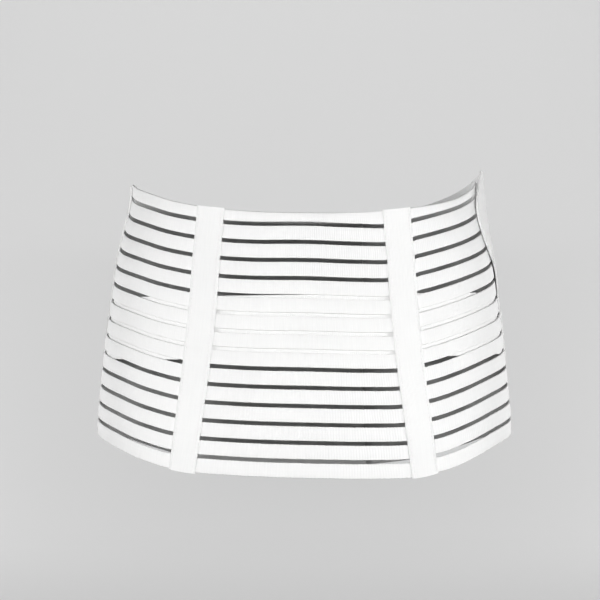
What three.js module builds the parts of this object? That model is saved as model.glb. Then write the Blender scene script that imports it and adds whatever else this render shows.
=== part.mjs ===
// A maternity support belt in its worn form: a wide slotted elastic round the back and sides, two tapes
// sewn over it, a plain strap inside it, and two front panels that overlap and fasten.
// Millimetres, +Z up. -Y is the back, +Y the belly, and the origin is the middle of the hollow, level
// with the middle of the belt's height at the back. A turn is an angle round the hollow in degrees,
// 0 at the middle of the back, 90 at the +X side, -90 at the -X side and 180 at the belly.
import * as THREE from 'three';

// Size of the hollow that the belt goes round
const HIP_WIDTH = 367;
const BACK_DEPTH = 118;
const BELLY_DEPTH = 165;
const BACK_FULLNESS = 2.15;
const BELLY_FULLNESS = 2;
const SPLAY_DEG = 7.7;
const BOW_DEG = 2.6;
const BELLY_DEG = 180;

// Slotted web
const BELT_HEIGHT = 228;
const SIDE_RISE = 33;
const BAND_COUNT = 15;
const TOP_BAND = 11;
const BOTTOM_BAND = 12.6;
const SLOT_HEIGHT = 3.2;
const WEB_WALL = 1.4;
const WEB_END_DEG = 104;
const SLOT_END_DEG = 98;
const SIDE_STEPS = 12;
const MIDDLE_STEPS = 8;

// Tapes over the web
const COVER_WIDTH = 26;
const COVER_WALL = 1.6;
const LEFT_COVER_DEG = -29.3;
const RIGHT_COVER_DEG = 28.5;
const COVER_CLEAR_DEG = 6;
const COVER_OVERHANG = 0.8;
const SLOT_TUCK = 3;

// Strap inside the web
const STRAP_HEIGHT = 55;
const STRAP_LEVEL = 15.6;
const STRAP_LEAN = 2.2;
const STRAP_WALL = 1.4;
const STRAP_END_DEG = 140;
const STRAP_ROWS = 4;
const STRAP_END_STEPS = 5;

// Front panels and their fastening
const PANEL_WALL = 1.6;
const PANEL_START_DEG = 94;
const PANEL_REACH_DEG = 17.5;
const PANEL_OVER_STEPS = 4;
const PANEL_LAP_DEG = 18;
const CLIMB_START_DEG = 108;
const CLIMB_END_DEG = 160;
const PANEL_STEPS = 10;
const LAP_STEPS = 6;
const PANEL_ROWS = 12;
const PANEL_FLARE = 8;
const PATCH_WALL = 1.2;
const PATCH_MARGIN = 14;

// Clearances between layers
const LAYER_GAP = 0.4;
const STRAP_GAP = 0.5;

// Form of the hollow, a row for each level. A level is a share of BELT_HEIGHT above the origin, and the
// other columns are shares of HIP_WIDTH, BACK_DEPTH and BELLY_DEPTH.
const FORM = [
  { level: -0.58, width: 1.000, back: 1.09, belly: 0.84 },
  { level: -0.29, width: 1.000, back: 1.06, belly: 0.94 },
  { level: -0.15, width: 0.984, back: 1.03, belly: 0.98 },
  { level: 0.00, width: 0.964, back: 1.00, belly: 1.00 },
  { level: 0.18, width: 0.931, back: 0.97, belly: 1.00 },
  { level: 0.32, width: 0.906, back: 0.94, belly: 0.98 },
  { level: 0.44, width: 0.869, back: 0.92, belly: 0.95 },
  { level: 0.56, width: 0.834, back: 0.91, belly: 0.92 },
  { level: 0.70, width: 0.832, back: 0.91, belly: 0.89 },
];

// Rise of the web's edges over their height at the back, as shares of SIDE_RISE, and the share of
// TOP_BAND by which the top slot lies higher there
const WEB_EDGES = [
  { turn: -110, top: 0.84, bottom: 0.95, lift: 0.00 },
  { turn: -90, top: 0.86, bottom: 1.02, lift: 0.00 },
  { turn: -75, top: 0.71, bottom: 0.92, lift: 0.00 },
  { turn: -60, top: 0.54, bottom: 0.73, lift: 0.02 },
  { turn: -45, top: 0.32, bottom: 0.43, lift: 0.07 },
  { turn: -30, top: 0.15, bottom: 0.16, lift: 0.11 },
  { turn: -15, top: 0.04, bottom: 0.06, lift: 0.17 },
  { turn: 0, top: 0.00, bottom: 0.00, lift: 0.28 },
  { turn: 15, top: 0.01, bottom: -0.03, lift: 0.10 },
  { turn: 25, top: 0.06, bottom: -0.01, lift: -0.04 },
  { turn: 37, top: 0.17, bottom: 0.19, lift: 0.20 },
  { turn: 45, top: 0.25, bottom: 0.39, lift: 0.31 },
  { turn: 60, top: 0.44, bottom: 0.74, lift: 0.38 },
  { turn: 75, top: 0.69, bottom: 0.93, lift: 0.34 },
  { turn: 90, top: 0.93, bottom: 1.02, lift: 0.30 },
  { turn: 110, top: 0.95, bottom: 0.95, lift: 0.30 },
];

// Rise of the front panels' edges in the same shares, by turn away from the back on either side
const PANEL_EDGES = [
  { turn: 90, leftTop: 0.84, rightTop: 1.24, bottom: 1.00 },
  { turn: 110, leftTop: 0.74, rightTop: 1.10, bottom: 0.85 },
  { turn: 130, leftTop: 0.46, rightTop: 0.66, bottom: 0.42 },
  { turn: 150, leftTop: 0.18, rightTop: 0.26, bottom: -0.02 },
  { turn: 180, leftTop: 0.04, rightTop: 0.06, bottom: -0.26 },
  { turn: 200, leftTop: 0.04, rightTop: 0.06, bottom: -0.26 },
];

// How far the right panel's front edge comes forward round the side, as a share of PANEL_REACH_DEG, by the
// share of the way down the panel
const PANEL_FRONT = [
  { down: 0.00, reach: 0.22 },
  { down: 0.08, reach: 0.68 },
  { down: 0.15, reach: 0.98 },
  { down: 0.24, reach: 1.00 },
  { down: 0.32, reach: 0.76 },
  { down: 0.40, reach: 0.28 },
  { down: 0.48, reach: 0.00 },
  { down: 0.60, reach: 0.00 },
];

// How far the right panel stands off the web, as a share of PANEL_FLARE, by level and by turn
const FLARE_LEVELS = [
  { level: -0.10, stand: 0.00 },
  { level: 0.10, stand: 0.20 },
  { level: 0.28, stand: 0.30 },
  { level: 0.40, stand: 0.66 },
  { level: 0.56, stand: 1.00 },
  { level: 0.68, stand: 0.60 },
];
const FLARE_TURNS = [
  { turn: 76, stand: 0.10 },
  { turn: 90, stand: 0.42 },
  { turn: 102, stand: 1.00 },
  { turn: 118, stand: 0.85 },
  { turn: 150, stand: 0.00 },
];

// Distances of each layer's inner face from the hollow
const WEB_LAYER = STRAP_WALL + STRAP_GAP;
const COVER_LAYER = WEB_LAYER + WEB_WALL + LAYER_GAP;
const PANEL_LAYER = COVER_LAYER;
const PATCH_LAYER = PANEL_LAYER + PANEL_WALL + LAYER_GAP;
const LAP_LAYER = PATCH_LAYER + PATCH_WALL + LAYER_GAP;

const radians = THREE.MathUtils.degToRad;
const degrees = THREE.MathUtils.radToDeg;

// A smooth curve through one column of a table, flat past its ends
function profile(table, key, column) {
  const places = table.map((row) => row[key]);
  const values = table.map((row) => row[column]);
  const curve = new THREE.CubicInterpolant(places, values, 1);
  return (place) => curve.evaluate(THREE.MathUtils.clamp(place, places[0], places.at(-1)))[0];
}

const widthShare = profile(FORM, 'level', 'width');
const backShare = profile(FORM, 'level', 'back');
const bellyShare = profile(FORM, 'level', 'belly');

// A signed power, for the rounded sections
function power(value, exponent) {
  return Math.sign(value) * Math.abs(value) ** exponent;
}

// A point of the hollow's section at a height, its outward direction, and the length of a radian there
function sectionAt(angle, z) {
  const level = z / BELT_HEIGHT;
  const across = HIP_WIDTH / 2 * widthShare(level);
  const isBack = Math.cos(angle) > 0;
  const deep = isBack ? BACK_DEPTH * backShare(level) : BELLY_DEPTH * bellyShare(level);
  const fullness = isBack ? BACK_FULLNESS : BELLY_FULLNESS;
  const x = across * power(Math.sin(angle), 2 / fullness);
  const y = -deep * power(Math.cos(angle), 2 / fullness);
  const outward = new THREE.Vector3(
    power(x / across, fullness - 1) / across, power(y / deep, fullness - 1) / deep, 0,
  ).normalize();
  const radianLength = Math.hypot(across * Math.cos(angle), deep * Math.sin(angle));
  return { point: new THREE.Vector3(x, y, z), outward, radianLength };
}

// A place on the belt: a turn, a small shift in mm along the cloth, a height and a distance off the hollow
function beltPoint(turn, shift, z, off) {
  const level = z / BELT_HEIGHT;
  const splay = radians(SPLAY_DEG) * level * Math.sin(radians(turn));
  const bow = radians(BOW_DEG) * (2 * level) ** 2 * Math.sin(2 * radians(turn));
  const splayed = radians(turn) - splay + bow;
  const angle = splayed + shift / sectionAt(splayed, z).radianLength;
  const { point, outward } = sectionAt(angle, z);
  return point.addScaledVector(outward, off);
}

// A closed cloth wall on a grid of stations along it and rows down it. place(station, row, side) gives a
// grid point on the inner face (side 0) or the outer face (side 1), and isCut(i, j) names cells left open.
function clothWall(stations, rows, place, isCut = () => false) {
  const positions = [];
  for (const side of [0, 1]) {
    for (const station of stations) {
      for (const row of rows) {
        positions.push(...place(station, row, side).toArray());
      }
    }
  }
  const at = (side, i, j) => (side * stations.length + i) * rows.length + j;
  const isCloth = (i, j) => {
    const isInside = i >= 0 && j >= 0 && i < stations.length - 1 && j < rows.length - 1;
    return isInside && !isCut(i, j);
  };
  const triangles = [];
  for (let i = 0; i < stations.length - 1; i += 1) {
    for (let j = 0; j < rows.length - 1; j += 1) {
      if (isCloth(i, j)) {
        const corners = [[i, j], [i, j + 1], [i + 1, j + 1], [i + 1, j]];
        const [a, b, c, d] = corners.map(([m, n]) => at(1, m, n));
        const [e, f, g, h] = corners.map(([m, n]) => at(0, m, n));
        triangles.push(a, b, c, a, c, d, e, g, f, e, h, g);
        const neighbours = [[i - 1, j], [i, j + 1], [i + 1, j], [i, j - 1]];
        neighbours.forEach(([m, n], k) => {
          if (!isCloth(m, n)) {
            const [p, q] = [corners[k], corners[(k + 1) % 4]];
            const [p0, p1, q0, q1] = [at(0, ...p), at(1, ...p), at(0, ...q), at(1, ...q)];
            triangles.push(q1, p1, p0, q1, p0, q0);
          }
        });
      }
    }
  }
  const wall = new THREE.BufferGeometry();
  wall.setAttribute('position', new THREE.Float32BufferAttribute(positions, 3));
  wall.setIndex(triangles);
  wall.computeVertexNormals();
  return wall;
}

// count + 1 even steps from one value to another
function steps(from, to, count) {
  return Array.from({ length: count + 1 }, (_, i) => from + (to - from) * i / count);
}

function plainStations(from, to, count) {
  return steps(from, to, count).map((turn) => ({ turn, shift: 0 }));
}

// Stations across one tape: its edges, its middle, and the ends of the slots tucked under it
function coverStations(turn) {
  const half = COVER_WIDTH / 2;
  return [-half, SLOT_TUCK - half, 0, half - SLOT_TUCK, half].map((shift) => ({ turn, shift }));
}

// Stations of the web from its left end to its right end
const leftSide = plainStations(-SLOT_END_DEG, LEFT_COVER_DEG - COVER_CLEAR_DEG, SIDE_STEPS);
const middle = plainStations(
  LEFT_COVER_DEG + COVER_CLEAR_DEG, RIGHT_COVER_DEG - COVER_CLEAR_DEG, MIDDLE_STEPS,
);
const rightSide = plainStations(RIGHT_COVER_DEG + COVER_CLEAR_DEG, SLOT_END_DEG, SIDE_STEPS);
const WEB_STATIONS = [
  { turn: -WEB_END_DEG, shift: 0 },
  ...leftSide,
  ...coverStations(LEFT_COVER_DEG),
  ...middle,
  ...coverStations(RIGHT_COVER_DEG),
  ...rightSide,
  { turn: WEB_END_DEG, shift: 0 },
];

const webTopRise = profile(WEB_EDGES, 'turn', 'top');
const webBottomRise = profile(WEB_EDGES, 'turn', 'bottom');
const slotLift = profile(WEB_EDGES, 'turn', 'lift');

// Height on the web at a station, by a share of the way down from its top edge. The slots' lift fades out
// towards the bottom edge.
function webHeight(station, down) {
  const turn = station.turn + degrees(station.shift / sectionAt(radians(station.turn), 0).radianLength);
  const top = BELT_HEIGHT / 2 + SIDE_RISE * webTopRise(turn);
  const bottom = -BELT_HEIGHT / 2 + SIDE_RISE * webBottomRise(turn);
  const lift = down > 0 ? TOP_BAND * slotLift(turn) * (1 - down) : 0;
  return top + (bottom - top) * down + lift;
}

// The share of the way down of each band's two edges, with the slots evenly spaced between the top band
// and the bottom band
function bandEdges() {
  const slotCount = BAND_COUNT - 1;
  const slotted = BELT_HEIGHT - TOP_BAND - BOTTOM_BAND;
  const pitch = (slotted - SLOT_HEIGHT) / (slotCount - 1);
  const edges = [0];
  for (let slot = 0; slot < slotCount; slot += 1) {
    const start = TOP_BAND + slot * pitch;
    edges.push(start / BELT_HEIGHT, (start + SLOT_HEIGHT) / BELT_HEIGHT);
  }
  return [...edges, 1];
}

// The web is cut between its bands, except at its ends and under the middle of each tape
function slottedWeb() {
  const isSolidTurn = (i) => {
    const [from, to] = [WEB_STATIONS[i], WEB_STATIONS[i + 1]];
    const isUnderCover = from.turn === to.turn && Math.max(Math.abs(from.shift), Math.abs(to.shift))
      < COVER_WIDTH / 2;
    return isUnderCover || i === 0 || i === WEB_STATIONS.length - 2;
  };
  return clothWall(
    WEB_STATIONS,
    bandEdges(),
    (station, down, side) =>
      beltPoint(station.turn, station.shift, webHeight(station, down), WEB_LAYER + side * WEB_WALL),
    (i, j) => j % 2 === 1 && !isSolidTurn(i),
  );
}

// A tape down the web, a little longer than the web at both edges
function stayCover(turn) {
  const overhang = COVER_OVERHANG / BELT_HEIGHT;
  const rows = bandEdges();
  rows[0] -= overhang;
  rows[rows.length - 1] += overhang;
  return clothWall(
    coverStations(turn),
    rows,
    (station, down, side) =>
      beltPoint(turn, station.shift, webHeight(station, down), COVER_LAYER + side * COVER_WALL),
  );
}

// The strap runs almost level inside the web, a little higher at the right side than at the left, and on
// past the web to its two ends inside the front panels
function innerStrap() {
  const inWeb = WEB_STATIONS.slice(1, -1);
  const stations = [
    ...plainStations(-STRAP_END_DEG, -WEB_END_DEG, STRAP_END_STEPS),
    ...inWeb,
    ...plainStations(WEB_END_DEG, STRAP_END_DEG, STRAP_END_STEPS),
  ];
  const top = STRAP_LEVEL + STRAP_HEIGHT / 2;
  return clothWall(
    stations,
    steps(top, top - STRAP_HEIGHT, STRAP_ROWS),
    ({ turn, shift }, z, side) =>
      beltPoint(turn, shift, z + STRAP_LEAN * Math.sin(radians(turn)), side * STRAP_WALL),
  );
}

// Turns of the stretch where the two panels overlap
const LAP_TURNS = steps(BELLY_DEG - PANEL_LAP_DEG, BELLY_DEG + PANEL_LAP_DEG, LAP_STEPS);

const flareLevel = profile(FLARE_LEVELS, 'level', 'stand');
const flareTurn = profile(FLARE_TURNS, 'turn', 'stand');
const frontReach = profile(PANEL_FRONT, 'down', 'reach');
const panelBottomRise = profile(PANEL_EDGES, 'turn', 'bottom');
const panelTopRise = {
  left: profile(PANEL_EDGES, 'turn', 'leftTop'),
  right: profile(PANEL_EDGES, 'turn', 'rightTop'),
};

// Height on a front panel, by its turn away from the back and a share of the way down
function panelHeight(side, turn, down) {
  const top = BELT_HEIGHT / 2 + SIDE_RISE * panelTopRise[side](turn);
  const bottom = -BELT_HEIGHT / 2 + SIDE_RISE * panelBottomRise(turn);
  return top + (bottom - top) * down;
}

// How far the right panel's inner face lies off the hollow: over the web's end, standing off towards its
// top, and over the left panel's end and the patch where the two overlap
function rightPanelLayer(turn, z) {
  const lap = THREE.MathUtils.smoothstep(turn, CLIMB_START_DEG, CLIMB_END_DEG);
  const flare = PANEL_FLARE * flareLevel(z / BELT_HEIGHT) * flareTurn(turn);
  return PANEL_LAYER + (LAP_LAYER - PANEL_LAYER) * lap + flare;
}

// The turn at a grid line of the right panel: over the web its lines spread forward to the front edge
function rightPanelTurn(turn, down) {
  const share = Math.max(SLOT_END_DEG - turn, 0) / (SLOT_END_DEG - PANEL_START_DEG);
  return turn - PANEL_REACH_DEG * frontReach(down) * share;
}

function frontPanel(side) {
  const sign = side === 'right' ? 1 : -1;
  const overWeb = steps(PANEL_START_DEG, SLOT_END_DEG, PANEL_OVER_STEPS);
  const open = steps(WEB_END_DEG, LAP_TURNS[0], PANEL_STEPS).slice(0, -1);
  const turns = [...overWeb, ...open, ...LAP_TURNS];
  const layer = side === 'right' ? rightPanelLayer : () => PANEL_LAYER;
  const turnAt = side === 'right' ? rightPanelTurn : (turn) => turn;
  return clothWall(
    side === 'right' ? turns : turns.reverse(),
    steps(0, 1, PANEL_ROWS),
    (line, down, face) => {
      const turn = turnAt(line, down);
      const z = panelHeight(side, turn, down);
      return beltPoint(sign * turn, 0, z, layer(turn, z) + face * PANEL_WALL);
    },
  );
}

// The fastening patch between the two panels' ends, a step in from each
function hookPatch() {
  const top = BELT_HEIGHT / 2 - PATCH_MARGIN;
  return clothWall(
    LAP_TURNS.slice(1, -1),
    steps(top, -top, PANEL_ROWS),
    (turn, z, face) => beltPoint(turn, 0, z, PATCH_LAYER + face * PATCH_WALL),
  );
}

function cloth(name, geometry, color, roughness) {
  const material = new THREE.MeshStandardMaterial({ color, roughness, metalness: 0 });
  const mesh = new THREE.Mesh(geometry, material);
  mesh.name = name;
  return mesh;
}

const belt = new THREE.Group();
belt.add(
  cloth('slotted_web', slottedWeb(), 0xf4f3f1, 0.85),
  cloth('stay_cover_left', stayCover(LEFT_COVER_DEG), 0xf6f5f3, 0.8),
  cloth('stay_cover_right', stayCover(RIGHT_COVER_DEG), 0xf6f5f3, 0.8),
  cloth('inner_strap', innerStrap(), 0xf1f0ee, 0.85),
  cloth('front_panel_left', frontPanel('left'), 0xf2f1ef, 0.9),
  cloth('front_panel_right', frontPanel('right'), 0xf2f1ef, 0.9),
  cloth('hook_patch', hookPatch(), 0xe9e8e6, 0.9),
);

export default belt;
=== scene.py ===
# %% [markdown]
# # A maternity support belt, seen from behind
# The belt is white elastic cloth. A wide band with rows of slots goes round the back and both sides, two
# tapes are sewn down over it, a plain strap runs inside it, and two solid panels close it in front.
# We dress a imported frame: its solids stay where they are, and each cloth piece that we model takes the
# place of one of them. Lengths are in metres, +Z is up and -Y is the back of the belt.

# %% Open the frame
import math

import bpy
from mathutils import Matrix, Vector


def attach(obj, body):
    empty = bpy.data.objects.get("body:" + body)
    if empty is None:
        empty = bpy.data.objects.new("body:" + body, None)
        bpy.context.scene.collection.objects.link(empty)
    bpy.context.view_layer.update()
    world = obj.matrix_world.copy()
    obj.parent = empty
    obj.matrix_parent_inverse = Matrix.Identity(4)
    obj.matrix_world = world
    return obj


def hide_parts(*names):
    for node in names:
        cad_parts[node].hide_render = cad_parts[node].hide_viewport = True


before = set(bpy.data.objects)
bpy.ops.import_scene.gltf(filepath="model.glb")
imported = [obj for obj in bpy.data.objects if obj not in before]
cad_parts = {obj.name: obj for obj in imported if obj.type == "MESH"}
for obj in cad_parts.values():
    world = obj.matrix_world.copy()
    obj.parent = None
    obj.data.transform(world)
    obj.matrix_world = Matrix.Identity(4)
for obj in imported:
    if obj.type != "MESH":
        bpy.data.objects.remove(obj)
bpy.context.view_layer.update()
bpy.ops.object.select_all(action="DESELECT")
print("nodes in the frame:", sorted(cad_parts))

# %% [markdown]
# ## The camera
# A long lens from more than two metres away keeps the slots almost straight, as in a catalogue picture.
# The camera is level and stands a little above the middle of the belt.

# %% Set the camera
CAMERA_PLACE = (-0.004, -2.320, 0.0385)
CAMERA_LENS = 153.5
CAMERA_SENSOR = 36.0

bpy.ops.object.camera_add(location=CAMERA_PLACE, rotation=(math.pi / 2, 0, 0))
camera = bpy.context.object
camera.name = "photo_camera"
camera.data.lens = CAMERA_LENS
camera.data.sensor_width = CAMERA_SENSOR
bpy.context.scene.camera = camera
print("camera lens:", camera.data.lens, "mm")

# %% [markdown]
# ## The form that the belt goes round
# All the cloth follows one hollow, so we describe that hollow once. It could be sculpted, but a short
# table of levels is easier to read and to change: at each level the hollow has a width, a depth behind
# its widest line and a depth in front of it.

# %% Describe the hollow
HIP_WIDTH = 0.367
BACK_DEPTH = 0.118
BELLY_DEPTH = 0.165
BACK_FULLNESS = 2.15
BELLY_FULLNESS = 2.0
SPLAY = math.radians(7.7)
BOW = math.radians(2.6)
BELT_HEIGHT = 0.228

# level as a share of the belt's height, then shares of the width, the back depth and the belly depth
FORM_COLUMNS = ("level", "width", "back", "belly")
FORM = [
    (-0.58, 1.000, 1.09, 0.84),
    (-0.29, 1.000, 1.06, 0.94),
    (-0.15, 0.984, 1.03, 0.98),
    (0.00, 0.964, 1.00, 1.00),
    (0.18, 0.931, 0.97, 1.00),
    (0.32, 0.906, 0.94, 0.98),
    (0.44, 0.869, 0.92, 0.95),
    (0.56, 0.834, 0.91, 0.92),
    (0.70, 0.832, 0.91, 0.89),
]
print("the hollow is told at", len(FORM), "levels")

# %% [markdown]
# ## A smooth curve through a table
# Straight lines between the rows of a table would leave creases in the cloth. A cubic curve passes through
# every row without one. Blender's curve objects could draw it, but a function can be asked for any place.

# %% Draw a curve through one column
def profile(columns, table, column):
    """A smooth curve through one column of a table against its first column, flat past both ends."""
    places = [row[0] for row in table]
    values = [row[columns.index(column)] for row in table]
    last = len(places) - 1

    def curve(place):
        place = min(max(place, places[0]), places[last])
        i = next((k for k in range(1, last) if place < places[k]), last)
        start, end = places[i - 1], places[i]
        before = i - 2 if i >= 2 else i
        after = i + 1 if i < last else i - 1
        half = (end - start) / 2
        w_before = half / (start - places[before])
        w_after = half / (places[after] - end)
        p = (place - start) / (end - start)
        p2, p3 = p * p, p * p * p
        return (
            values[before] * w_before * (-p3 + 2 * p2 - p)
            + values[i - 1] * ((1 + w_before) * p3 - (1.5 + 2 * w_before) * p2 + (w_before - 0.5) * p + 1)
            + values[i] * (-(1 + w_after) * p3 + (1.5 + w_after) * p2 + 0.5 * p)
            + values[after] * w_after * (p3 - p2)
        )

    return curve


width_share = profile(FORM_COLUMNS, FORM, "width")
back_share = profile(FORM_COLUMNS, FORM, "back")
belly_share = profile(FORM_COLUMNS, FORM, "belly")
print("width at the middle:", round(HIP_WIDTH * width_share(0), 3), "m")

# %% [markdown]
# ## Places on the belt
# A place on the belt is told by how far round it is, how high, and how far off the hollow. We keep to a few
# key stations round the belt: each is a turn in degrees and a small shift along the cloth. All key
# stations lean outwards towards the bottom and bow a little, as the two tapes do, so pieces that are sewn
# together share the same lines. The section is a superellipse, which is a circle with a slightly fuller
# back, and its formula also gives the way straight out of the cloth.

# %% Find places on the belt
def power(value, exponent):
    """A power that keeps the sign, for rounded sections."""
    return math.copysign(abs(value) ** exponent, value)


def hollow_at(angle, z):
    """A point of the hollow, the way out of it, and the length of one radian there."""
    level = z / BELT_HEIGHT
    across = HIP_WIDTH / 2 * width_share(level)
    is_back = math.cos(angle) > 0
    deep = BACK_DEPTH * back_share(level) if is_back else BELLY_DEPTH * belly_share(level)
    fullness = BACK_FULLNESS if is_back else BELLY_FULLNESS
    x = across * power(math.sin(angle), 2 / fullness)
    y = -deep * power(math.cos(angle), 2 / fullness)
    out = Vector((power(x / across, fullness - 1) / across, power(y / deep, fullness - 1) / deep, 0))
    radian = math.hypot(across * math.cos(angle), deep * math.sin(angle))
    return Vector((x, y, z)), out.normalized(), radian


def key_angle(key, z):
    """The angle round the hollow of a key station (a turn in degrees, a shift along the cloth)."""
    turn, shift = math.radians(key[0]), key[1]
    level = z / BELT_HEIGHT
    splayed = turn - SPLAY * level * math.sin(turn) + BOW * (2 * level) ** 2 * math.sin(2 * turn)
    return splayed + shift / hollow_at(splayed, z)[2]


def key_turn(key):
    """The turn in degrees at which a key station lies, for reading the edge tables."""
    turn, shift = key
    return turn + math.degrees(shift / hollow_at(math.radians(turn), 0)[2])


def belt_point(station, z, off):
    """A place on the belt, off metres outside the hollow. A station is two keys and a share between."""
    key_a, key_b, share = station
    angle_a, angle_b = key_angle(key_a, z), key_angle(key_b, z)
    point, out, _ = hollow_at(angle_a + (angle_b - angle_a) * share, z)
    return point + out * off


def station_turn(station):
    """The turn in degrees at which a station lies."""
    key_a, key_b, share = station
    turn_a, turn_b = key_turn(key_a), key_turn(key_b)
    return turn_a + (turn_b - turn_a) * share


def fine_stations(keys, step):
    """Stations about one step apart along the cloth, with every key among them."""
    stations = []
    for key_a, key_b in zip(keys, keys[1:]):
        gap = (belt_point((key_a, key_b, 1), 0, 0) - belt_point((key_a, key_b, 0), 0, 0)).length
        count = max(1, round(gap / step))
        stations += [(key_a, key_b, k / count) for k in range(count)]
    return stations + [(keys[-2], keys[-1], 1)]


def even(start, end, count):
    """count + 1 even steps from one value to another."""
    return [start + (end - start) * k / count for k in range(count + 1)]


def cloth_steps(stations, off):
    """The lengths from each station to the next, at mid-height and off metres outside the hollow."""
    points = [belt_point(station, 0, off) for station in stations]
    return [(there - here).length for here, there in zip(points, points[1:])]


rim = [hollow_at(math.radians(degree), 0)[0] for degree in range(361)]
print("girth of the hollow:", round(sum((b - a).length for a, b in zip(rim, rim[1:])), 3), "m")

# %% [markdown]
# ## Cloth from a flat grid
# Elastic is woven flat, so each piece starts flat too: a grid with one square for each small patch of
# cloth. We cut the slots in edit mode, bend the grid round the hollow by moving its points, and give it
# its thickness with a Solidify modifier. The flat lengths stay on it as a UV map in metres, which the
# weave of its material follows. Bending a ready-made thick wall would also work, but it would stretch
# the inner face and lose the flat lengths. Where columns are drawn together at a slanted edge, points
# that lie on each other are merged, so that no square is left without a size.

# %% A helper that makes one cloth piece
GRID_SIZE = 2.0
MERGE_DISTANCE = 0.000002
SMOOTH_ANGLE = math.radians(55)


def cloth_piece(name, stations, rows, place, wall, weight=None, is_cut=None):
    """A thick cloth from a flat grid, with a column of points for each station and a line for each row.

    place(i, j) is a point of the inner face, weight(i, j) is the share of the wall there, and is_cut(i, j)
    says whether a cell is left open.
    """
    bpy.ops.object.select_all(action="DESELECT")
    across, down = len(stations) - 1, len(rows) - 1
    bpy.ops.mesh.primitive_grid_add(x_subdivisions=across, y_subdivisions=down, size=GRID_SIZE)
    piece = bpy.context.object
    piece.name = name
    piece.data.name = name
    mesh = piece.data
    half = GRID_SIZE / 2
    cell_i = GRID_SIZE / across
    cell_j = GRID_SIZE / down
    if is_cut:
        bpy.ops.object.mode_set(mode="EDIT")
        bpy.ops.mesh.select_mode(type="FACE")
        bpy.ops.mesh.select_all(action="DESELECT")
        bpy.ops.object.mode_set(mode="OBJECT")
        for face in mesh.polygons:
            i = int((face.center.x + half) / cell_i)
            j = int((half - face.center.y) / cell_j)
            face.select = is_cut(i, j)
        bpy.ops.object.mode_set(mode="EDIT")
        bpy.ops.mesh.delete(type="FACE")
        bpy.ops.object.mode_set(mode="OBJECT")
    corners = [(round((v.co.x + half) / cell_i), round((half - v.co.y) / cell_j)) for v in mesh.vertices]
    for vertex, (i, j) in zip(mesh.vertices, corners):
        vertex.co = place(i, j)
    lay_flat(mesh, corners, stations, rows)
    bpy.ops.object.modifier_add(type="SOLIDIFY")
    solidify = piece.modifiers[-1]
    solidify.thickness = wall
    solidify.offset = 1
    solidify.use_even_offset = False
    if weight:
        group = piece.vertex_groups.new(name="wall")
        for index, (i, j) in enumerate(corners):
            group.add([index], weight(i, j), "REPLACE")
        solidify.vertex_group = group.name
    bpy.ops.object.mode_set(mode="EDIT")
    bpy.ops.mesh.select_all(action="SELECT")
    bpy.ops.mesh.remove_doubles(threshold=MERGE_DISTANCE)
    bpy.ops.object.mode_set(mode="OBJECT")
    bpy.ops.object.modifier_apply(modifier=solidify.name)
    bpy.ops.object.shade_smooth_by_angle(angle=SMOOTH_ANGLE)
    print(name, "has", len(mesh.polygons), "faces")
    return piece


def lay_flat(mesh, corners, stations, rows):
    """Writes the cloth's flat lengths as the UV map: along it, and up from the middle of its height."""
    along = [0.0]
    for step in cloth_steps(stations, 0):
        along.append(along[-1] + step)
    layer = mesh.uv_layers.active
    for loop in mesh.loops:
        i, j = corners[loop.vertex_index]
        layer.data[loop.index].uv = (along[i], -rows[j])


print("cloth helper ready, smooth below", round(math.degrees(SMOOTH_ANGLE)), "degrees")

# %% [markdown]
# ## Tools for shader nodes
# A node group is built once and placed in each material with its own numbers, like a small tool. Adding
# and linking nodes takes several lines each time, so a few short functions do it.

# %% Helpers for groups and nodes
def new_group(name, inputs, outputs):
    """An empty shader group with (name, socket type, default) inputs and outputs."""
    group = bpy.data.node_groups.new(name, "ShaderNodeTree")
    for label, kind, default in inputs:
        socket = group.interface.new_socket(label, in_out="INPUT", socket_type=kind)
        if default is not None:
            socket.default_value = default
    for label, kind in outputs:
        group.interface.new_socket(label, in_out="OUTPUT", socket_type=kind)
    return group, group.nodes.new("NodeGroupInput"), group.nodes.new("NodeGroupOutput")


def math_node(tree, operation, *values):
    """One Math node. Each value is a number or a socket to link."""
    node = tree.nodes.new("ShaderNodeMath")
    node.operation = operation
    for slot, value in zip(node.inputs, values):
        if isinstance(value, (int, float)):
            slot.default_value = value
        else:
            tree.links.new(value, slot)
    return node.outputs[0]


def fill(node, values):
    """Sets inputs of a node by their labels."""
    for label, value in values.items():
        node.inputs[label].default_value = value


def noise_node(tree, vector, scale, detail=2.0):
    """The value of a Noise Texture node."""
    node = tree.nodes.new("ShaderNodeTexNoise")
    fill(node, {"Scale": scale, "Detail": detail})
    tree.links.new(vector, node.inputs["Vector"])
    return node.outputs["Fac"]


def stretched(tree, vector, scale):
    """The vector with each axis scaled by its own number."""
    node = tree.nodes.new("ShaderNodeMapping")
    node.inputs["Scale"].default_value = scale
    tree.links.new(vector, node.inputs["Vector"])
    return node.outputs["Vector"]


print("groups so far:", len(bpy.data.node_groups))

# %% [markdown]
# ## The weave
# An elastic has ribs across it, where the rubber threads lie, and fine picks along it. Two sine waves make
# them, bent and broken up a little by noise, because a pattern that is too even looks printed. An image of
# cloth would blur close up, and this one stays sharp at any distance.

# %% Build the weave group
WOBBLE_SCALE = 90.0
WOBBLE_REACH = 0.0016
RIB_HEIGHT = 0.3
PICK_HEIGHT = 0.22
STREAK_SCALE = (700.0, 45.0, 1.0)
STREAK_DETAIL = 3.0
LINE_SCALE = (12.0, 900.0, 1.0)
LINE_SHARE = 0.4
WEAVE_HOLLOW_SHADE = 0.25


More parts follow.
